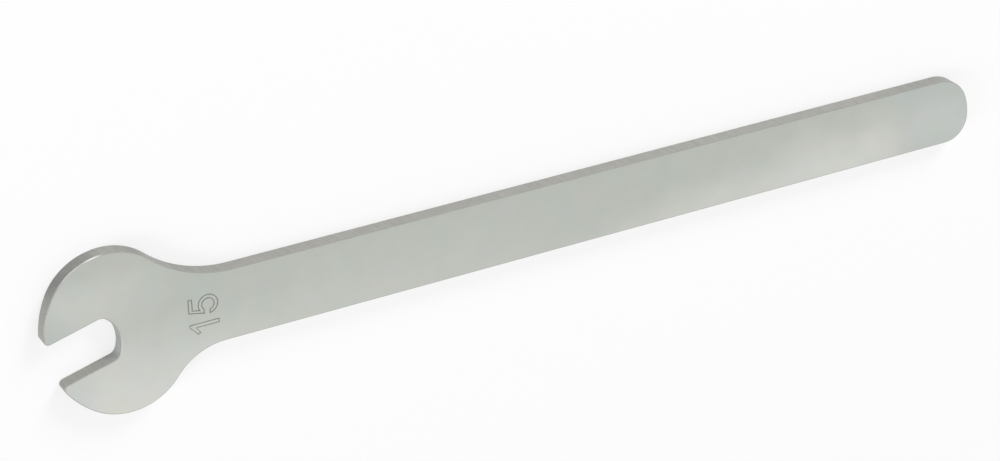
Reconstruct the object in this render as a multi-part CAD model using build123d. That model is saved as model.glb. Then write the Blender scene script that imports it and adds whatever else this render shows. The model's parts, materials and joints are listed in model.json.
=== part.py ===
from build123d import *
import os
from math import asin, cos, degrees, hypot, radians, sin, sqrt

# A flat open-ended pedal wrench, cut in one piece from steel plate. Sizes are millimetres and degrees.
# The origin is the axis of the pedal spindle as it sits in the jaw, at the plate's underside.
# +X runs along the handle to its free end, +Y across it, and +Z out of the numbered face.

# The plate: its thickness, and the small round that tumbling leaves on every rim.
plate_thickness = 5.0
rim_round = 0.3

# The jaw takes the spindle's two flats. Its bottom is an arc about the spindle's axis, wider than the
# flats by a relief, so that the round shoulder beside them doesn't bind.
spindle_flats = 15.0
flats_clearance = 0.1
seat_relief = 3.7
seat_corner_round = 2.75
jaw_angle = 15.0

# The head: one round cheek outside each flat, which runs out into a flatter arc towards the mouth.
head_setback = 11.0
jaw_wall = 19.5
cheek_radius = 19.5
tip_start_angle = 40.0
tip_radius = 32.0
mouth_corner_round = 1.5

# The handle: a flat bar, and the hollow rounds that join it to the head. Its free end is a shallow crown
# about a point a little below the bar's middle. The crown's upper corner is rounder than its lower one.
handle_width = 23.0
handle_reach = 303.5
crown_radius = 20.0
crown_drop = 2.8
wide_neck_radius = 38.0
tight_neck_radius = 20.0

# The jaw's size, engraved as the outlines of two figures. They read across the handle, towards +Y.
groove_width = 0.34
groove_depth = 0.2
figure_height = 9.3
figure_stroke = 1.15
baseline_from_head = 31.3
first_figure_y = -7.0
figure_gap = 2.8

# The one: a stem, and a flag that falls from its top to the left.
one_width = 3.45
one_crown_width = 0.6
one_flag_drop = 2.45
one_flag_thickness = 0.8
one_flag_slant = 0.3
one_crotch_drop = 1.95

# The five: a bar on top, a leaning stem, and an open bowl.
five_bar_left = 1.2
five_bar_length = 4.35
five_stem_left = 0.2
five_stem_thickness = 0.9
five_stem_bottom = 4.5
five_bowl_radius = 3.1
five_bowl_x = 2.9
five_mouth_bottom = 2.6

jaw_opening = spindle_flats + flats_clearance
seat_radius = jaw_opening / 2 + seat_relief
cheek_offset = jaw_opening / 2 + jaw_wall - cheek_radius
head_x = head_setback * cos(radians(jaw_angle))
head_y = head_setback * sin(radians(jaw_angle))
upper_corner_round = 0.515 * handle_width
lower_corner_round = 0.365 * handle_width


def rounded(face, corners, radius):
    """The face, with its corners nearest to the given points rounded."""
    chosen = [min(face.vertices(), key=lambda v: hypot(v.X - x, v.Y - y)) for x, y in corners]
    return fillet(chosen, radius)


def cheeks():
    """The head without its slot, in the jaw's own frame: -X is out of the mouth and +Y across it."""
    heel_angle = -degrees(asin(cheek_offset / cheek_radius))
    join_angle = 180 - tip_start_angle
    inward = cheek_radius - tip_radius
    tip_x = head_setback + inward * cos(radians(join_angle))
    tip_y = cheek_offset + inward * sin(radians(join_angle))
    mouth_angle = 180 + degrees(asin(tip_y / tip_radius))
    cheek = CenterArc((head_setback, cheek_offset), cheek_radius, heel_angle, join_angle - heel_angle)
    tip = CenterArc((tip_x, tip_y), tip_radius, join_angle, mouth_angle - join_angle)
    half = make_face(Curve() + [cheek, tip, Line(tip @ 1, cheek @ 0)])
    return half + mirror(half, about=Plane.XZ)


def jaw_slot():
    """The space for the spindle, in the jaw's own frame, open past the mouth."""
    past_mouth = head_setback + tip_radius
    channel = Pos(-past_mouth / 2, 0) * Rectangle(past_mouth, jaw_opening)
    seat = Circle(seat_radius) & Rectangle(2 * seat_radius, jaw_opening)
    corner_x = sqrt(seat_radius**2 - (jaw_opening / 2) ** 2)
    corners = [(corner_x, side * jaw_opening / 2) for side in (1, -1)]
    return rounded(channel + seat, corners, seat_corner_round)


def head():
    """The cheeks with the jaw cut into them, in the jaw's own frame."""
    mouth_x = head_setback - cheek_radius
    corners = [(mouth_x, side * jaw_opening / 2) for side in (1, -1)]
    return rounded(cheeks() - jaw_slot(), corners, mouth_corner_round)


def handle():
    """The bar and its crowned end, from inside the head."""
    bar_start = head_x + cheek_radius / 2
    bar_end = head_x + handle_reach
    crown_x = bar_end - crown_radius
    plan = Pos((bar_start + bar_end) / 2, head_y) * Rectangle(bar_end - bar_start, handle_width)
    past_crown = Pos(crown_x + crown_radius / 2, head_y) * Rectangle(crown_radius, handle_width)
    plan -= past_crown - Pos(crown_x, head_y - crown_drop) * Circle(crown_radius)
    for side, corner_round in ((1, upper_corner_round), (-1, lower_corner_round)):
        plan = rounded(plan, [(bar_end, head_y + side * handle_width / 2)], corner_round)
    return plan


def outline():
    """The whole wrench, seen from above."""
    plan = Rot(0, 0, jaw_angle) * head() + handle()
    for side, neck_radius in ((1, wide_neck_radius), (-1, tight_neck_radius)):
        neck = (head_x + cheek_radius, head_y + side * handle_width / 2)
        plan = rounded(plan, [neck], neck_radius)
    return plan


def figure_one():
    """The figure 1, upright, with its left side at x = 0 and its baseline at y = 0."""
    stem_left = one_width - figure_stroke
    flag_tip = (0, figure_height - one_flag_drop)
    flag_corner = (one_flag_slant, figure_height - one_flag_drop - one_flag_thickness)
    crotch = (stem_left, figure_height - one_crotch_drop)
    crown = (one_width - one_crown_width, figure_height)
    outer = [(one_width, 0), (one_width, figure_height), crown, flag_tip, flag_corner, crotch]
    return make_face(Polyline((stem_left, 0), *outer, close=True))


def figure_five():
    """The figure 5, upright, with its foot's left side near x = 0 and its baseline at y = 0."""
    bar = Rectangle(five_bar_length, figure_stroke, align=(Align.MIN, Align.MAX))
    stem_foot = [(five_stem_left + five_stem_thickness, five_stem_bottom), (five_stem_left, five_stem_bottom)]
    stem_top = [(five_bar_left, figure_height), (five_bar_left + five_stem_thickness, figure_height)]
    stem = make_face(Polyline(*stem_foot, *stem_top, close=True))
    bowl = Circle(five_bowl_radius) - Circle(five_bowl_radius - figure_stroke)
    mouth = Rectangle(five_bowl_radius, five_stem_bottom - five_mouth_bottom, align=(Align.MAX, Align.MAX))
    whole = Pos(five_bar_left, figure_height) * bar + stem + Pos(five_bowl_x, five_bowl_radius) * bowl
    return whole - Pos(five_bowl_x, five_stem_bottom) * mouth


def number_grooves():
    """The grooves along both figures' outlines, lying in the plate's top face."""
    five_y = first_figure_y + one_width + figure_gap
    grooves = []
    for figure, left in ((figure_one(), first_figure_y), (figure_five(), five_y)):
        band = offset(figure, groove_width / 2) - offset(figure, -groove_width / 2)
        place = Pos(head_x + baseline_from_head, head_y + left, plate_thickness) * Rot(0, 0, 90)
        grooves.append(extrude(place * band, -groove_depth))
    return grooves


def wrench():
    """The finished plate: cut out, its rims rounded, and the number engraved."""
    plate = extrude(outline(), plate_thickness)
    rims = plate.faces().sort_by(Axis.Z)[-1].edges() + plate.faces().sort_by(Axis.Z)[0].edges()
    plate = fillet(rims, rim_round)
    for groove in number_grooves():
        plate -= groove
    return plate


os.makedirs("parts", exist_ok=True)
shape = wrench()
export_step(shape, "parts/wrench.step")
size = shape.bounding_box().size
print(f"wrench {size.X:.2f} x {size.Y:.2f} x {size.Z:.2f} mm, {shape.volume:.1f} cubic mm")
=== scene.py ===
# %% [markdown]
# # A flat pedal wrench
#
# This wrench turns a bicycle pedal's spindle by the two flats beside the crank, where there is no room
# for a thick tool. The real one is a single piece: a shape cut out of 5 mm steel plate, tumbled until its
# rims are no longer sharp, numbered with the width of its jaw, and plated with a thin coat of satin zinc.
#
# The measured part is loaded first and stays fixed. It gives the place and the size of everything here.
# Its arcs are made of a few flat facets, which show as corners when the light runs along a rim, so this
# lesson draws the same outline again, with arcs fine enough to look round.

# %% Load the measured frame
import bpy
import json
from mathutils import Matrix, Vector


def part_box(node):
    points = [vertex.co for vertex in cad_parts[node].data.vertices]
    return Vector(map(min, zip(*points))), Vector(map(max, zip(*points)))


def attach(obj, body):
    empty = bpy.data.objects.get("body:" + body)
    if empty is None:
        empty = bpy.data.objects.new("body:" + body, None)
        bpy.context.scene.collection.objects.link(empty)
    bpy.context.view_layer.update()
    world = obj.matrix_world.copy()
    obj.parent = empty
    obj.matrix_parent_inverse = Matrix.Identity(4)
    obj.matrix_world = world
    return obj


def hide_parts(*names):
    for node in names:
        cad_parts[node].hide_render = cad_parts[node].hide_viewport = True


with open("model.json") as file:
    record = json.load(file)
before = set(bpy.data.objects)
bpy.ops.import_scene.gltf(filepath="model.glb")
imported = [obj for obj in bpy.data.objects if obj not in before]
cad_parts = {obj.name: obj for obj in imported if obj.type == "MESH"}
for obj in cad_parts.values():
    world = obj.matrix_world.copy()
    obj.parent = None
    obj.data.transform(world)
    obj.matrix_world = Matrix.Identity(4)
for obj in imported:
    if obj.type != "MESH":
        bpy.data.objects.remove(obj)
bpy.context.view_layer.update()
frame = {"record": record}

# %% [markdown]
# ## Sizes
#
# The frame holds the plate's thickness and the handle's reach, and the part's mounts say where the two
# flats of the jaw are, so those are read from it. The radii of the arcs aren't in the frame, and are
# repeated here as the real wrench's sizes. Everything is in metres.

# %% Read the plate and the jaw from the frame
import math
from mathutils import Vector

mm = 0.001
far_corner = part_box("wrench")[1]
plate_thickness = far_corner.z
handle_end = far_corner.x

mounts = {mount["name"]: mount for mount in frame["record"]["mounts"]}
upper_flat = Vector(mounts["jaw_flat_upper"]["pos_m"]).to_2d()
lower_flat = Vector(mounts["jaw_flat_lower"]["pos_m"]).to_2d()
jaw_opening = (upper_flat - lower_flat).length
across_jaw = (upper_flat - lower_flat).normalized()
into_jaw = Vector((across_jaw.y, -across_jaw.x))
print(f"The jaw is {jaw_opening / mm:.2f} mm wide, and the plate {plate_thickness / mm:.2f} mm thick")

# %% The head's other sizes
head_setback = 11.0 * mm
jaw_wall = 19.5 * mm
cheek_radius = 19.5 * mm
tip_radius = 32.0 * mm
tip_start_angle = math.radians(40.0)
mouth_corner_radius = 1.5 * mm
seat_radius = 11.25 * mm
seat_corner_radius = 2.75 * mm


def in_jaw(inward, across):
    """A place given along and across the jaw, from the spindle's axis."""
    return into_jaw * inward + across_jaw * across


head_x, handle_y = in_jaw(head_setback, 0)
print(f"The head's middle is at x = {head_x / mm:.2f} mm, and the handle's at y = {handle_y / mm:.2f} mm")

# %% The sizes of the neck, the handle and the rims
wide_neck_radius = 38.0 * mm
tight_neck_radius = 20.0 * mm
handle_width = 23.0 * mm
crown_radius = 20.0 * mm
crown_drop = 2.8 * mm
upper_corner_radius = 11.845 * mm
lower_corner_radius = 8.395 * mm
rim_round = 0.3 * mm
print(f"The handle is {handle_width / mm:.1f} mm wide and ends at x = {handle_end / mm:.2f} mm")

# %% [markdown]
# ## A pen for outlines
#
# A shape that is cut from plate is nothing but its outline, so it is best drawn as one, corner by corner.
# It could also be joined from discs and bars with booleans, but the hollow rounds of the neck would then
# have to be bevelled out of facets, and wouldn't meet the straight edges cleanly. A pen that extrudes a
# corner along each straight run, and spins it about the centre of each arc, gives every arc its true
# centre and as many facets as it needs. Spin turns clockwise about an axis that points at the viewer, so
# the pen gives it an axis that points away.

# %% The pen
import bpy

# An arc's facets are short enough to stay this close to the true circle.
arc_error = 0.003 * mm
merge_distance = 0.01 * mm


class Pen:
    """Draws an outline in edit mode, at one height, from a single corner onwards."""

    def __init__(self, name, place, height):
        bpy.ops.object.select_all(action="DESELECT")
        bpy.ops.mesh.primitive_plane_add(size=mm, location=(*place, height))
        bpy.context.object.name = name
        bpy.ops.object.mode_set(mode="EDIT")
        bpy.ops.mesh.merge(type="CENTER")
        self.start = place
        self.place = place
        self.height = height

    def to(self, end, centre=None, turn=1):
        """Draws straight to the end, or about a centre: anticlockwise if turn is 1, clockwise if -1."""
        if centre is None:
            step = (end - self.place).to_3d()
            bpy.ops.mesh.extrude_region_move(TRANSFORM_OT_translate={"value": step})
        else:
            here = self.place - centre
            there = end - centre
            sweep = turn * (math.atan2(there.y, there.x) - math.atan2(here.y, here.x)) % math.tau
            steps = math.ceil(sweep / (2 * math.acos(1 - arc_error / here.length)))
            middle = (*centre, self.height)
            bpy.ops.mesh.spin(steps=steps, angle=turn * sweep, center=middle, axis=(0, 0, -1))
        self.place = end

    def close(self):
        """Draws back to the first corner, and leaves the whole outline selected."""
        self.to(self.start)
        bpy.ops.mesh.select_all(action="SELECT")
        bpy.ops.mesh.remove_doubles(threshold=merge_distance)


# %% [markdown]
# ## The head's arcs
#
# Two arcs that run smoothly into each other touch on the line through their centres, so each corner of
# the outline follows from the centres alone. A small round between an arc and a straight edge has its
# centre at a known distance from both: where a second circle crosses a second straight line.

# %% Where circles touch, and where a line crosses a circle
from mathutils.geometry import intersect_line_sphere_2d

spindle_axis = Vector((0, 0))


def touch(centre, radius, other_centre):
    """The point of a circle on the line from its centre through another centre."""
    return centre + (other_centre - centre).normalized() * radius


def crossing(centre, radius, start, end):
    """Where the straight line from start towards end leaves a circle."""
    return intersect_line_sphere_2d(start, end, centre, radius, False)[0]


# %% The centres of the arcs on one side of the jaw: side is 1 for the upper cheek and -1 for the lower
def cheek_centre(side):
    return in_jaw(head_setback, side * (jaw_opening / 2 + jaw_wall - cheek_radius))


def tip_centre(side):
    """The centre of the flatter arc that takes over from the cheek's arc at the tip's start angle."""
    shift = tip_radius - cheek_radius
    inward = shift * math.cos(tip_start_angle)
    across = -side * shift * math.sin(tip_start_angle)
    return cheek_centre(side) + in_jaw(inward, across)


def mouth_corner_centre(side):
    across = side * (jaw_opening / 2 + mouth_corner_radius)
    reach = tip_radius - mouth_corner_radius
    return crossing(tip_centre(side), reach, in_jaw(0, across), in_jaw(-1, across))


def seat_corner_centre(side):
    across = side * (jaw_opening / 2 - seat_corner_radius)
    return crossing(spindle_axis, seat_radius - seat_corner_radius, in_jaw(0, across), in_jaw(1, across))


def neck_centre(side, neck_radius):
    y = handle_y + side * (handle_width / 2 + neck_radius)
    return crossing(cheek_centre(side), cheek_radius + neck_radius, Vector((0, y)), Vector((1, y)))


# %% The corners on one side of the head, from the handle to the jaw's seat
def head_corners(side, neck_radius):
    """The corners, and for each two neighbours the centre and turn of the arc between, or nothing."""
    neck = neck_centre(side, neck_radius)
    cheek = cheek_centre(side)
    tip = tip_centre(side)
    mouth = mouth_corner_centre(side)
    seat = seat_corner_centre(side)
    corners = [
        Vector((neck.x, handle_y + side * handle_width / 2)),
        touch(cheek, cheek_radius, neck),
        touch(tip, tip_radius, cheek),
        touch(tip, tip_radius, mouth),
        mouth - across_jaw * side * mouth_corner_radius,
        seat + across_jaw * side * seat_corner_radius,
        touch(spindle_axis, seat_radius, seat),
    ]
    arcs = [(neck, -1), (cheek, 1), (tip, 1), (mouth, 1), (), (seat, -1)]
    return corners, arcs


# %% The crown at the handle's end, and the rounds of its two corners
crown_centre = Vector((handle_end - crown_radius, handle_y - crown_drop))


def end_corner_centre(side, corner_radius):
    y = handle_y + side * (handle_width / 2 - corner_radius)
    return crossing(crown_centre, crown_radius - corner_radius, Vector((0, y)), Vector((1, y)))


upper_end = end_corner_centre(1, upper_corner_radius)
lower_end = end_corner_centre(-1, lower_corner_radius)
print(f"The handle's end rounds off from x = {upper_end.x / mm:.2f} and {lower_end.x / mm:.2f} mm")

# %% Draw the whole outline, anticlockwise from the lower corner of the handle's end
upper_corners, upper_arcs = head_corners(1, wide_neck_radius)
lower_corners, lower_arcs = head_corners(-1, tight_neck_radius)
corners = upper_corners + lower_corners[::-1]
arcs = [(), *upper_arcs, (spindle_axis, -1), *lower_arcs[::-1]]

pen = Pen("wrench_plate", lower_end - Vector((0, lower_corner_radius)), 0)
pen.to(touch(crown_centre, crown_radius, lower_end), lower_end)
pen.to(touch(crown_centre, crown_radius, upper_end), crown_centre)
pen.to(upper_end + Vector((0, upper_corner_radius)), upper_end)
for corner, arc in zip(corners, arcs):
    pen.to(corner, *arc)
pen.close()
bpy.ops.mesh.edge_face_add()
neck_starts = [round(side[0].x / mm, 2) for side in (upper_corners, lower_corners)]
print("The neck leaves the handle at x =", *neck_starts, "mm")

# %% [markdown]
# ## The plate
#
# The filled outline is raised to the plate's thickness. Tumbling leaves no sharp rim, so all the rims get
# the same small round. A bevel modifier that is limited by angle finds them without any picking: only
# the rims turn by a right angle, and the facets of an arc turn by a few degrees.

# %% Raise the outline and round its rims
rim_facets = 4
rim_turn = math.radians(60)


def apply_modifier(kind, **settings):
    """Adds a modifier to the active object, sets it, and makes its result permanent."""
    bpy.ops.object.modifier_add(type=kind)
    modifier = bpy.context.object.modifiers[-1]
    for name, setting in settings.items():
        setattr(modifier, name, setting)
    bpy.ops.object.modifier_apply(modifier=modifier.name)


bpy.ops.mesh.extrude_region_move(TRANSFORM_OT_translate={"value": (0, 0, plate_thickness)})
bpy.ops.mesh.select_all(action="SELECT")
bpy.ops.mesh.normals_make_consistent(inside=False)
bpy.ops.object.mode_set(mode="OBJECT")
bpy.ops.object.transform_apply(location=True)
plate = bpy.context.object

# The clamp is off, so that the short facets of the arcs can't make the round smaller.
apply_modifier(
    "BEVEL", width=rim_round, segments=rim_facets, limit_method="ANGLE", angle_limit=rim_turn,
    use_clamp_overlap=False,
)
print("The plate has", len(plate.data.polygons), "faces")

# %% [markdown]
# ## The number
#
# The 15 says which spindle the jaw fits. On the real wrench a fine cutter has followed the outlines of
# both figures, and left a groove that holds some dirt and looks dark. A bump would show the lines, but
# would leave the mesh flat, so the groove is cut for real. The pen draws each figure's outline, an
# extrusion makes it a ribbon that stands on edge, Solidify gives the ribbon the groove's width, and a
# boolean takes it out of the plate.

# %% Sizes and places of the engraving
groove_width = 0.34 * mm
groove_depth = 0.2 * mm
ribbon_height = 2 * groove_depth
figure_height = 9.3 * mm
figure_stroke = 1.15 * mm
figure_gap = 2.8 * mm
baseline_from_head = 31.3 * mm
first_figure_from_middle = -7.0 * mm

baseline_x = head_x + baseline_from_head
first_figure_y = handle_y + first_figure_from_middle


def figure_place(figure_y):
    """A function for places on one figure. It reads across the handle, with its top to the head."""
    def place(right, up):
        return Vector((baseline_x - up, figure_y + right))

    return place


print(f"The figures stand at x = {baseline_x / mm:.2f} mm, the first at y = {first_figure_y / mm:.2f} mm")

# %% The outline of the one, from its foot's right corner
one_width = 3.45 * mm
one_crown_width = 0.6 * mm
one_flag_drop = 2.45 * mm
one_flag_thickness = 0.8 * mm
one_flag_slant = 0.3 * mm
one_crotch_drop = 1.95 * mm


def draw_one(place):
    flag_top = figure_height - one_flag_drop
    corners = [
        place(one_width, 0),
        place(one_width, figure_height),
        place(one_width - one_crown_width, figure_height),
        place(0, flag_top),
        place(one_flag_slant, flag_top - one_flag_thickness),
        place(one_width - figure_stroke, figure_height - one_crotch_drop),
        place(one_width - figure_stroke, 0),
    ]
    pen = Pen("one", corners[0], plate_thickness - groove_depth)
    for corner in corners[1:]:
        pen.to(corner)
    pen.close()


# %% The outline of the five, from its upper left corner
bar_left = 1.2 * mm
bar_length = 4.35 * mm
stem_left = 0.2 * mm
stem_thickness = 0.9 * mm
stem_bottom = 4.5 * mm
bowl_radius = 3.1 * mm
bowl_x = 2.9 * mm
bowl_mouth_bottom = 2.6 * mm


def draw_five(place):
    bowl = place(bowl_x, bowl_radius)
    hollow_radius = bowl_radius - figure_stroke
    foot, top = place(stem_left, stem_bottom), place(bar_left, figure_height)
    stem_width = place(stem_thickness, 0) - place(0, 0)
    mouth_top = place(bowl_x, stem_bottom), place(-bowl_x, stem_bottom)
    mouth_bottom = place(bowl_x, bowl_mouth_bottom), place(-bowl_x, bowl_mouth_bottom)
    under_bar = (figure_height - figure_stroke - stem_bottom) / (figure_height - stem_bottom)

    pen = Pen("five", top, plate_thickness - groove_depth)
    pen.to(place(bar_left + bar_length, figure_height))
    pen.to(place(bar_left + bar_length, figure_height - figure_stroke))
    pen.to(foot.lerp(top, under_bar) + stem_width)
    pen.to(crossing(bowl, bowl_radius, foot + stem_width, top + stem_width))
    pen.to(crossing(bowl, bowl_radius, *mouth_bottom), bowl, -1)
    pen.to(crossing(bowl, hollow_radius, *mouth_bottom))
    pen.to(crossing(bowl, hollow_radius, *mouth_top), bowl, 1)
    pen.to(crossing(bowl, bowl_radius, *mouth_top))
    pen.to(crossing(bowl, bowl_radius, foot, top), bowl, -1)
    pen.close()


# %% Cut both grooves into the plate
def widen_to_groove():
    """Turns the outline in hand into a closed band, from the groove's floor to above the plate."""
    bpy.ops.mesh.extrude_region_move(TRANSFORM_OT_translate={"value": (0, 0, ribbon_height)})
    bpy.ops.object.mode_set(mode="OBJECT")
    bpy.ops.object.transform_apply(location=True)
    apply_modifier("SOLIDIFY", thickness=groove_width, offset=0, use_even_offset=True)
    bpy.ops.object.mode_set(mode="EDIT")
    bpy.ops.mesh.select_all(action="SELECT")
    bpy.ops.mesh.normals_make_consistent(inside=False)
    bpy.ops.object.mode_set(mode="OBJECT")
    return bpy.context.object


draw_one(figure_place(first_figure_y))
one = widen_to_groove()
draw_five(figure_place(first_figure_y + one_width + figure_gap))
five = widen_to_groove()

for figure in (one, five):
    bpy.ops.object.select_all(action="DESELECT")
    bpy.context.view_layer.objects.active = plate
    plate.select_set(True)
    apply_modifier("BOOLEAN", operation="DIFFERENCE", solver="EXACT", object=figure)
    bpy.ops.object.select_all(action="DESELECT")
    figure.select_set(True)
    bpy.ops.object.delete()
print("With its number, the plate has", len(plate.data.polygons), "faces")

# %% [markdown]
# ## Shading
#
# The facets of the arcs and of the rims' rounds are shaded as one smooth surface, and the groove's walls
# stay sharp. Smooth shading alone would bend the light on the broad flat faces near their rims, so the
# weighted normals let the largest face at each corner decide.

# %% Smooth the arcs and keep the flats flat
smooth_turn = math.radians(35)
large_face_weight = 100

bpy.context.view_layer.objects.active = plate
plate.select_set(True)
bpy.ops.object.shade_smooth_by_angle(angle=smooth_turn)
apply_modifier("WEIGHTED_NORMAL", keep_sharp=True, weight=large_face_weight)
print("The edges that stay sharp:", sum(edge.use_edge_sharp for edge in plate.data.edges))

# %% [markdown]
# ## Shader nodes from Python expressions
#
# A finish is worked out by nodes, and a sum of three clouds already takes fifteen of them. Written as
# calls, that is hard to read. So one small class holds the output of a node, and Python's own operators on
# it add the Math nodes. Every other node comes from one method. It applies a node's settings before it
# fills the inputs, because a setting such as the data type decides which inputs there are.

# %% Values that add their own Math nodes
class Value:
    """The output of a node. Python's own operators on it add Math nodes."""

    def __init__(self, nodes, socket):
        self.nodes = nodes
        self.socket = socket

    def __add__(self, other):
        return self.nodes.math("ADD", self, other)

    def __radd__(self, other):
        return self.nodes.math("ADD", other, self)

    def __sub__(self, other):
        return self.nodes.math("SUBTRACT", self, other)

    def __rsub__(self, other):
        return self.nodes.math("SUBTRACT", other, self)

    def __mul__(self, other):
        return self.nodes.math("MULTIPLY", self, other)

    def __rmul__(self, other):
        return self.nodes.math("MULTIPLY", other, self)


class Nodes:
    """The node tree of a material or of the world, with short ways to add to it."""

    def __init__(self, owner):
        owner.use_nodes = True
        self.tree = owner.node_tree

    def add(self, kind, settings, inputs, output=0):
        """Adds a node with these settings and inputs, and gives one of its outputs."""
        node = self.tree.nodes.new(kind)
        for name, setting in settings.items():
            setattr(node, name, setting)
        for name, value in inputs.items():
            self.feed(node.inputs[name], value)
        return Value(self, node.outputs[output])

    def feed(self, socket, value):
        """Links a value to a socket, or sets a plain number or colour on it."""
        if isinstance(value, Value):
            self.tree.links.new(value.socket, socket)
        else:
            socket.default_value = value

    def math(self, operation, first, second):
        return self.add("ShaderNodeMath", {"operation": operation}, {0: first, 1: second})

    def mix(self, share, first, second, blend="MIX"):
        """A colour that goes from the first to its blend with the second as the share goes from 0 to 1."""
        settings = {"data_type": "RGBA", "blend_type": blend}
        # A Mix node takes its two colours at inputs 6 and 7, and gives the mixed one at output 2.
        return self.add("ShaderNodeMix", settings, {0: share, 6: first, 7: second}, 2)

    def vector(self, operation, inputs, output=0):
        return self.add("ShaderNodeVectorMath", {"operation": operation}, inputs, output)


def display(red, green, blue):
    """The colour that shows as these three display values from 0 to 255, by the sRGB formula."""
    def linear(value):
        value = value / 255
        return value / 12.92 if value <= 0.04045 else ((value + 0.055) / 1.055) ** 2.4

    return (linear(red), linear(green), linear(blue), 1)


# %% [markdown]
# ## The coat of zinc
#
# Zinc dulls to a soft, slightly green grey with a wide, blurred shine. The coat isn't even. It is paler in
# clouds of a few centimetres along one side. These are partly the coat and partly a painted sheen: the
# reflections of lamps in the satin face are painted into its colour there. The coat is also a little bluer
# at the tips of the jaw and at the handle's end. A noise alone would put the clouds anywhere, so each one is
# an ellipse with a soft rim, and a coarse noise only pulls it out of shape. Finer noises do the rest: one
# mottles the coat's lightness by a few parts in a hundred, one lets its hue wander as little, one varies how
# blurred the shine is, and the finest is the grain that tumbling leaves.

# %% Soft clouds and noises on a surface
noise_mean = 0.5
soft_detail = 2.0


def place_on_part(nodes):
    """The place on the part, in metres from its origin."""
    return nodes.add("ShaderNodeTexCoord", {}, {}, "Object")


def noise(nodes, place, size, detail=soft_detail, stretch=(1, 1, 1), lean=0):
    """A noise around its mean, with spots of this size, longer along stretched axes and leaning in x."""
    stretched = {"Vector": place, "Scale": stretch, "Rotation": (0, lean, 0)}
    laid = nodes.add("ShaderNodeMapping", {"vector_type": "TEXTURE"}, stretched)
    return nodes.add("ShaderNodeTexNoise", {}, {"Vector": laid, "Scale": 1 / size, "Detail": detail})


def colour_noise(nodes, place, size, detail=soft_detail):
    """Three noises at once, as the parts of a colour or of a vector."""
    spots = {"Vector": place, "Scale": 1 / size, "Detail": detail}
    return nodes.add("ShaderNodeTexNoise", {}, spots, "Color")


def fade(nodes, value, start, end):
    """Goes smoothly from 0 to 1 as the value goes from start to end."""
    settings = {"interpolation_type": "SMOOTHSTEP"}
    return nodes.add("ShaderNodeMapRange", settings, {"Value": value, "From Min": start, "From Max": end})


def cloud(nodes, place, centre, reach):
    """1 at the centre of an ellipse in the plan, falling softly to 0 at its rim."""
    ellipse = {"Vector": place, "Location": (*centre, 0), "Scale": (*reach, 1)}
    laid = nodes.add("ShaderNodeMapping", {"vector_type": "TEXTURE"}, ellipse)
    return fade(nodes, nodes.vector("LENGTH", {0: laid}, "Value"), 1, 0)


def clouds(nodes, place, table):
    """All the clouds of a table together. Its places and reaches are in millimetres."""
    return sum(
        cloud(nodes, place, [c * mm for c in centre], [r * mm for r in reach]) * strength
        for centre, reach, strength in table
    )


# %% The colour of the coat
dull_zinc = display(187, 191, 184)
pale_zinc_and_sheen = display(214, 215, 209)
cool_tint = (0.985, 1.0, 1.03, 1)

# Each cloud has its centre, its reach along and across the handle, and its strength at the centre.
# The pale clouds are partly the coat's own paleness and partly painted sheen, where the face mirrors lamps.
pale_and_sheen_clouds = [
    ((265, -5), (63, 18), 0.80),
    ((207, -10), (55, 14), 0.50),
    ((80, -20), (160, 40), 0.40),
    ((10, -23), (80, 33), 0.65),
    ((2, 15), (35, 15), 0.45),
]
cool_clouds = [
    ((-12, 10), (22, 18), 1.0),
    ((-6, -14), (18, 16), 1.0),
    ((26, -10), (24, 18), 0.6),
]
cloud_edge_size = 18 * mm
cloud_edge_pull = 6 * mm

# Between these two places the handle turns cool all over, and its end has one pale cloud of its own, which
# is partly painted sheen too.
cool_end_start = 279 * mm
cool_end_full = 293 * mm
pale_and_sheen_end_clouds = [((300, 0), (60, 18), 0.34)]


def pulled_place(nodes, place):
    """The place, pulled to and fro by a coarse noise, which makes the edge of what is laid on it uneven."""
    pull = colour_noise(nodes, place, cloud_edge_size)
    pull = nodes.vector("SUBTRACT", {0: pull, 1: (noise_mean, noise_mean, noise_mean)})
    pull = nodes.vector("SCALE", {0: pull, "Scale": 2 * cloud_edge_pull})
    return nodes.vector("ADD", {0: place, 1: pull})


def coat_colour(nodes, place):
    """Dull zinc under the pale clouds, which are partly painted sheen, tinted where the coat is cool."""
    along = nodes.add("ShaderNodeSeparateXYZ", {}, {0: place}, "X")
    at_end = fade(nodes, along, cool_end_start, cool_end_full)
    pale = clouds(nodes, place, pale_and_sheen_clouds) * (1 - at_end)
    pale = pale + clouds(nodes, place, pale_and_sheen_end_clouds) * at_end
    cool = clouds(nodes, place, cool_clouds) + at_end
    colour = nodes.mix(pale, dull_zinc, pale_zinc_and_sheen)
    return nodes.mix(cool, colour, cool_tint, "MULTIPLY")


# %% The mottle of the coat
mottle_dark = (0.967, 0.967, 0.963, 1)
mottle_light = (1.033, 1.033, 1.037, 1)
mottle_size = 6 * mm
mottle_detail = 4.0
hue_spread = Vector((0.10, 0.04, 0.06))
hue_spot_size = 8 * mm
hue_detail = 3.0


def mottled(nodes, place, colour):
    """The colour, darker and lighter in small spots, with a hue that wanders in larger ones."""
    mottle = nodes.mix(noise(nodes, place, mottle_size, mottle_detail), mottle_dark, mottle_light)
    colour = nodes.mix(1.0, colour, mottle, "MULTIPLY")
    hue = colour_noise(nodes, place, hue_spot_size, hue_detail)
    lowest_hue = Vector((1, 1, 1)) - hue_spread * noise_mean
    hue = nodes.vector("MULTIPLY_ADD", {0: hue, 1: hue_spread, 2: lowest_hue})
    return nodes.mix(1.0, colour, hue, "MULTIPLY")


# %% The finish of the plated faces
face_metallic = 1.0
shine_spot_size = 4 * mm
smoothest = 0.34
roughness_spread = 0.12
grain_size = 0.4 * mm
grain_detail = 3.0
grain_height = 0.02 * mm
grain_strength = 0.15


def relief(nodes, height, strength, distance):
    """A normal that follows a height: the highest spots stand out by the distance."""
    return nodes.add("ShaderNodeBump", {}, {"Strength": strength, "Distance": distance, "Height": height})


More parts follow.
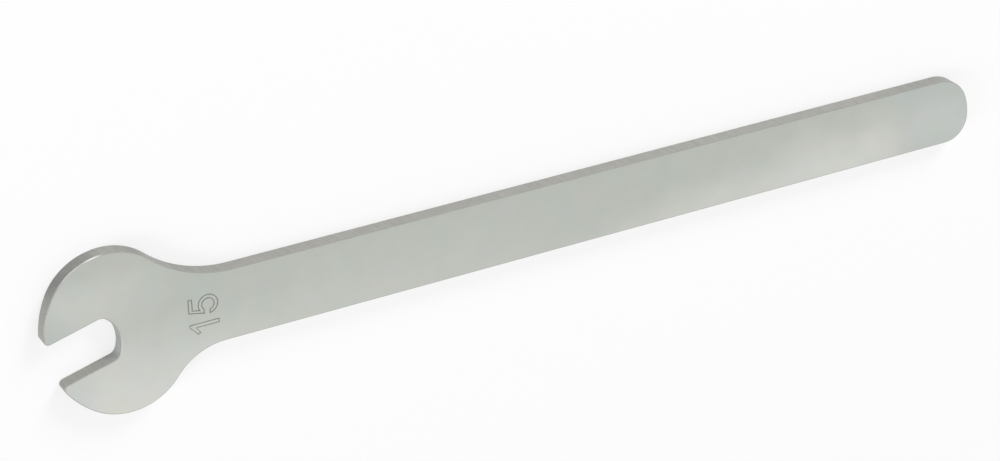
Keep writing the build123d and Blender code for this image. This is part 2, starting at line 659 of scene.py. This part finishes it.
def plated_face(nodes, place):
    """What the shader of the plated faces gets in its sockets."""
    colour = mottled(nodes, place, coat_colour(nodes, pulled_place(nodes, place)))
    roughness = smoothest + noise(nodes, place, shine_spot_size) * roughness_spread
    grain = noise(nodes, place, grain_size, grain_detail)
    return {
        "Base Color": colour,
        "Metallic": face_metallic,
        "Roughness": roughness,
        "Normal": relief(nodes, grain, grain_strength, grain_height),
    }


# %% [markdown]
# ## The cut walls
#
# The cutter leaves fine strokes from face to face on the walls, which lean a little. Under the thin coat
# they still show as thin darker and lighter lines. A noise that is stretched thirtyfold along the strokes
# draws them, and the same noise raises them in a bump. The walls scatter more light than the faces, so
# only a part of them acts as metal. Their tone is uneven too: bluer inside the jaw, darker over the top of
# the head, along the neck and at the handle's end, and paler in a corner of the jaw's seat. The darker
# patches are painted shade and the paler one is painted light, standing for the light around the real
# wrench.
# The blue is kept as the coat's tint, though one picture can't tell how much of it is that light. Each of
# these has its own tint, which is multiplied in through its own clouds.

# %% The colour of the cut walls
dark_stroke = display(158, 157, 151)
light_stroke = display(203, 202, 196)
stroke_size = 0.45 * mm
stroke_stretch = (1, 1, 30)
stroke_lean = math.radians(12)
stroke_contrast = 1.6
stroke_share = 0.7
wall_mottle_size = 4 * mm

cool_wall_tint = (0.95, 1.0, 1.03, 1)
cool_wall_clouds = [
    ((10, -2), (10, 8), 1.3),
    ((-10, 16), (6, 6), 0.4),
]
# Painted shade: these clouds darken the walls where the real walls mirror darker surroundings.
painted_shade_wall_tint = (0.675, 0.69, 0.715, 1)
painted_shade_wall_clouds = [
    ((-4, 25), (12, 12), 0.80),
    ((-7, 21.5), (7, 7), 0.36),
    ((3, 29), (8, 8), 0.40),
    ((18, 28), (10, 10), 0.75),
    ((30, 19), (22, 18), 0.65),
    ((1, -8), (10, 6), 0.10),
    ((302, 12), (30, 12), 0.42),
]
# Painted light: this cloud brightens a corner of the jaw's seat, where the real wall catches more light.
painted_light_wall_tint = (1.2, 1.21, 1.24, 1)
painted_light_wall_clouds = [((10.5, -3.2), (4.5, 4.5), 1.0)]
wall_tints = [
    (cool_wall_tint, cool_wall_clouds),
    (painted_shade_wall_tint, painted_shade_wall_clouds),
    (painted_light_wall_tint, painted_light_wall_clouds),
]


def cutter_strokes(nodes, place):
    """The strokes that the cutter leaves, from dark to light."""
    strokes = noise(nodes, place, stroke_size, soft_detail, stroke_stretch, stroke_lean)
    return (strokes - noise_mean) * stroke_contrast + noise_mean


def wall_colour(nodes, place, strokes):
    """The strokes over a soft mottle, tinted through the clouds, some of which are painted shade and painted
    light.
    """
    mottle = noise(nodes, place, wall_mottle_size)
    lightness = strokes * stroke_share + mottle * (1 - stroke_share)
    colour = nodes.mix(lightness, dark_stroke, light_stroke)
    for tint, table in wall_tints:
        colour = nodes.mix(clouds(nodes, place, table), colour, tint, "MULTIPLY")
    return colour


# %% The finish of the cut walls
wall_metallic = 0.3
wall_smoothest = 0.45
wall_roughness_spread = 0.2
stroke_height = 0.04 * mm
stroke_strength = 0.5


def cut_wall(nodes, place):
    """What the shader of the cut walls gets in its sockets."""
    strokes = cutter_strokes(nodes, place)
    return {
        "Base Color": wall_colour(nodes, place, strokes),
        "Metallic": wall_metallic,
        "Roughness": wall_smoothest + strokes * wall_roughness_spread,
        "Normal": relief(nodes, strokes, stroke_strength, stroke_height),
    }


# %% [markdown]
# ## The engraved lines
#
# Dirt sits in the grooves of the number, more in some places than in others, and keeps them dull. The lines
# of the 1 are a little lighter than those of the 5. A noise spots the dirt, and one cloud lightens the 1.
# Lines as fine as these need no bump, because the grooves are real.

# %% The finish of the engraved lines
dirty_line = display(160, 160, 155)
clean_line = display(187, 188, 183)
lighter_line = display(214, 215, 209)
lighter_line_clouds = [((37, -2.5), (9, 5), 0.42)]
dirt_size = 1.5 * mm
line_metallic = 0.7
line_roughness = 0.6


def engraved_line(nodes, place):
    """What the shader of the engraved lines gets in its sockets."""
    colour = nodes.mix(noise(nodes, place, dirt_size), clean_line, dirty_line)
    colour = nodes.mix(clouds(nodes, place, lighter_line_clouds), colour, lighter_line)
    return {"Base Color": colour, "Metallic": line_metallic, "Roughness": line_roughness}


# %% [markdown]
# ## The rubbed rims and their painted glint
#
# The rims rub against whatever the wrench meets, and their coat is duller than that of the faces. The real
# rim also has a short glint at the top of the head, and light lines along the jaw, around its seat and at
# the upper tip, which are lamps that it mirrors. A lamp that the rim mirrors would draw the glint, but would
# also whiten the whole top face for a viewer on the opposite side. So the glint and the lines are painted
# highlights here: clouds of a bright colour, which stay in their places when the wrench is turned.

# %% The finish of the rubbed rims
thin_coat = display(161, 162, 157)
thick_coat = display(175, 176, 171)
# Painted highlight: the colour of the glint and of the light lines that the rim mirrors from lamps.
painted_glint = display(240, 241, 238)
painted_glint_clouds = [
    ((4.8, 29.1), (4, 4), 1.0),
    ((-1.5, 26.5), (8, 8), 0.42),
    ((1, -8), (18, 8), 0.32),
    ((-11.2, 12.5), (6, 7), 0.30),
    ((11, -1), (6, 8), 0.50),
]
coat_spot_size = 3 * mm
rim_metallic = 0.9
rim_roughness = 0.3


def rubbed_rim_and_painted_glint(nodes, place):
    """What the shader of the rubbed rims, with their painted glint, gets in its sockets."""
    colour = nodes.mix(noise(nodes, place, coat_spot_size), thin_coat, thick_coat)
    colour = nodes.mix(clouds(nodes, place, painted_glint_clouds), colour, painted_glint)
    return {"Base Color": colour, "Metallic": rim_metallic, "Roughness": rim_roughness}


# %% [markdown]
# ## The finishes on the plate
#
# The plate has one material slot for each finish. Which finish a face gets follows from its slope and its
# depth, so none is picked by hand. An upright face is a wall, a sloping one is a rim, and one that lies just
# under the top face is a part of a groove. The rest keeps the first slot, which is the plated face.

# %% Make the four finishes
def add_finish(name, shader_sockets):
    """Adds a material to the plate. The function says what its shader gets, from the nodes and the place."""
    material = bpy.data.materials.new(name)
    nodes = Nodes(material)
    shader = nodes.tree.nodes["Principled BSDF"]
    for socket, value in shader_sockets(nodes, place_on_part(nodes)).items():
        nodes.feed(shader.inputs[socket], value)
    plate.data.materials.append(material)
    print(name, "has", len(nodes.tree.nodes), "nodes")
    return material


add_finish("plated_face", plated_face)
wall_finish = add_finish("cut_wall", cut_wall)
line_finish = add_finish("engraved_line", engraved_line)
rim_finish = add_finish("rubbed_rim_and_painted_glint", rubbed_rim_and_painted_glint)

# %% Give each finish to its faces
upright_slope = 0.1
level_slope = 0.99

# A face between these two depths under the top face belongs to a groove.
groove_top = 0.1 * groove_depth
groove_bottom = 1.5 * groove_depth


def paint(finish, rule):
    """Gives a finish to the plate's faces that the rule picks."""
    bpy.ops.object.mode_set(mode="EDIT")
    bpy.ops.mesh.select_mode(type="FACE")
    bpy.ops.mesh.select_all(action="DESELECT")
    bpy.ops.object.mode_set(mode="OBJECT")
    for face in plate.data.polygons:
        face.select = rule(face)
    bpy.ops.object.mode_set(mode="EDIT")
    plate.active_material_index = plate.data.materials.find(finish.name)
    bpy.ops.object.material_slot_assign()
    bpy.ops.object.mode_set(mode="OBJECT")


def on_wall(face):
    return abs(face.normal.z) < upright_slope


def on_rim(face):
    return upright_slope <= abs(face.normal.z) <= level_slope


def in_groove(face):
    """Whether a face is past the jaw, inside the handle's rims, and just under the top face."""
    inside = abs(face.center.y - handle_y) < handle_width / 2 - rim_round and face.center.x > cheek_radius
    return inside and groove_top < plate_thickness - face.center.z < groove_bottom


paint(wall_finish, on_wall)
paint(rim_finish, on_rim)
paint(line_finish, in_groove)
for index, finish in enumerate(plate.data.materials):
    print(finish.name, "is on", sum(face.material_index == index for face in plate.data.polygons), "faces")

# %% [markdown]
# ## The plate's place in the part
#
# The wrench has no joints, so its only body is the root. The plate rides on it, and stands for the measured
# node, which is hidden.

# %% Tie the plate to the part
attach(plate, "root")
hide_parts("wrench")
print(plate.name, "rides on the root body")

# %% [markdown]
# ## The studio
#
# The wrench lies on white paper in a white tent. What lights it and what it mirrors are set apart here. The
# camera, the metal's reflections and rays through glass see a tent of strength 1, which is white, and a
# floor that glows white for the most part, and for the rest is paper that keeps the wrench's soft shadow.
# All other rays get the tent's real, weaker light. A tent that is dark towards the camera, where a
# photographer leaves it open, gives the walls that face the camera their darker tone. Two large lamps
# brighten the walls that face away from the opening. They are hidden from reflections, as a tent's cloth
# hides its lamps, so nothing on the wrench mirrors them.

# %% The floor
floor_size = 12.0
paper_in_view = (0.95, 0.95, 0.95, 1)
paper_for_light = (0.4, 0.4, 0.4, 1)
white = (1, 1, 1, 1)
glow_share = 0.7

bpy.ops.object.select_all(action="DESELECT")
bpy.ops.mesh.primitive_plane_add(size=floor_size, location=(0, 0, 0))
floor = bpy.context.object
floor.name = "studio_floor"
print("The floor is", floor_size, "m wide")


# %% The floor's paper
def shows_backdrop(nodes):
    """1 for the rays that show the backdrop: the camera's own, and those that metal or glass sends on."""
    rays = nodes.add("ShaderNodeLightPath", {}, {}, "Is Camera Ray")
    outputs = rays.socket.node.outputs
    for name in ("Is Glossy Ray", "Is Transmission Ray"):
        rays = nodes.math("MAXIMUM", rays, Value(nodes, outputs[name]))
    return rays


floor_material = bpy.data.materials.new("white_floor")
nodes = Nodes(floor_material)
shows = shows_backdrop(nodes)
paper = nodes.add("ShaderNodeBsdfDiffuse", {}, {"Color": nodes.mix(shows, paper_for_light, paper_in_view)})
glow = nodes.add("ShaderNodeEmission", {}, {"Color": white, "Strength": 1.0})
surface = nodes.add("ShaderNodeMixShader", {}, {0: shows * glow_share, 1: paper, 2: glow})
nodes.feed(nodes.tree.nodes["Material Output"].inputs["Surface"], surface)
floor.data.materials.append(floor_material)
print("In view the paper glows by", glow_share, "of white")

# %% The tent and its opening
tent_light = 0.8
opening_light = 0.0
opening_azimuth = math.radians(125)
opening_rise = 0.1
opening_rim = 0.35
opening_core = 0.75

world = bpy.data.worlds.new("white_tent")
bpy.context.scene.world = world
nodes = Nodes(world)
background = nodes.tree.nodes["Background"]
nodes.feed(background.inputs["Color"], white)
direction = nodes.add("ShaderNodeTexCoord", {}, {}, "Generated")
towards_opening = (math.cos(opening_azimuth), math.sin(opening_azimuth), opening_rise)
facing = nodes.vector("DOT_PRODUCT", {0: direction, 1: towards_opening}, "Value")
light = tent_light - fade(nodes, facing, opening_rim, opening_core) * (tent_light - opening_light)
nodes.feed(background.inputs["Strength"], nodes.math("MAXIMUM", light, shows_backdrop(nodes)))
print("The tent's light is", tent_light, "and fades to", opening_light, "at its opening")

# %% The lamps
lamp_distance = 2.0
lamp_elevation = math.radians(25)
lamp_size = 0.7


def towards(azimuth, elevation):
    """A direction. Azimuth 0 is along +X and a quarter turn is along +Y, and elevation is up from both."""
    level = math.cos(elevation)
    return Vector((math.cos(azimuth) * level, math.sin(azimuth) * level, math.sin(elevation)))


def softbox(name, azimuth, power):
    """A soft lamp that faces the middle of the handle, hidden from view and from reflections."""
    back = towards(azimuth, lamp_elevation)
    bpy.ops.object.light_add(type="AREA", location=Vector((handle_end / 2, 0, 0)) + back * lamp_distance)
    lamp = bpy.context.object
    lamp.name = name
    lamp.rotation_euler = back.to_track_quat("Z", "Y").to_euler()
    lamp.data.size = lamp_size
    lamp.data.energy = power
    lamp.visible_camera = False
    lamp.visible_glossy = False
    print(name, "of", power, "W")


softbox("right_softbox", azimuth=math.radians(60), power=22.5)
softbox("left_softbox", azimuth=math.radians(186), power=12.3)

# %% [markdown]
# ## The camera
#
# The wrench is seen from 52 degrees above the paper, from almost a metre away and through a long lens, so
# that its far end looks only about a seventh smaller than its head. The camera is rolled, which makes the
# handle rise to the right. It is first pointed at its aim, with its own top up, and then rolled about its
# line of sight. Two turns one after the other are easier to follow than three angles found together.

# %% Place the camera
from mathutils import Quaternion

camera_aim = Vector((136.35, 3.26, 5.0)) * mm
camera_distance = 880.6 * mm
camera_azimuth = math.radians(132.35)
camera_elevation = math.radians(51.90)
camera_roll = math.radians(129.30)
lens_length = 102.98
film_width = 36
line_of_sight = (0, 0, 1)

back = towards(camera_azimuth, camera_elevation)
bpy.ops.object.camera_add()
camera = bpy.context.object
camera.location = camera_aim + back * camera_distance
camera.rotation_mode = "QUATERNION"
camera.rotation_quaternion = back.to_track_quat("Z", "Y") @ Quaternion(line_of_sight, camera_roll)
camera.data.lens = lens_length
camera.data.sensor_width = film_width
bpy.context.scene.camera = camera
bpy.context.scene.view_settings.view_transform = "Standard"
print("The camera stands at", [round(value, 3) for value in camera.location])

# %% [markdown]
# ## The end
#
# The new plate is drawn to the measured part's sizes.

# %% Finish
import json
